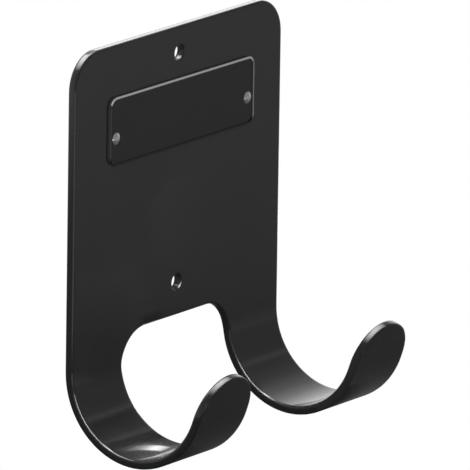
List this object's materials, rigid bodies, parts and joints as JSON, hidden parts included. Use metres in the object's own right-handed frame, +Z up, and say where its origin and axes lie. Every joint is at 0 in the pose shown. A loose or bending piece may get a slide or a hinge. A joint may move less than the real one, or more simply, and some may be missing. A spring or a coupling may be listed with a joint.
{
  "type": "double hook wall bracket",
  "caption": "Flat wall plate folded from sheet metal, with forward J-shaped hooks for hanging long-handled tools, screw holes and a blank riveted nameplate, in gloss black.",
  "frame": {"origin": "midway between the two screw holes, on the plate's back face, which lies against the wall", "axes": "+Z up the wall, +Y out of the back face into the wall, +X to the right for someone facing the wall; the hooks reach towards -Y"},
  "size_m": [0.1404, 0.0727, 0.1653],
  "materials": {
    "black_powder_coat": "semi-gloss black powder coat",
    "nameplate_black": "satin black with polished edges",
    "rivet_aluminium": "plain bright"
  },
  "bodies": {
    "root": {"bracket": "black_powder_coat", "nameplate": "nameplate_black", "nameplate_rivets": "rivet_aluminium"}
  },
  "joints": []
}
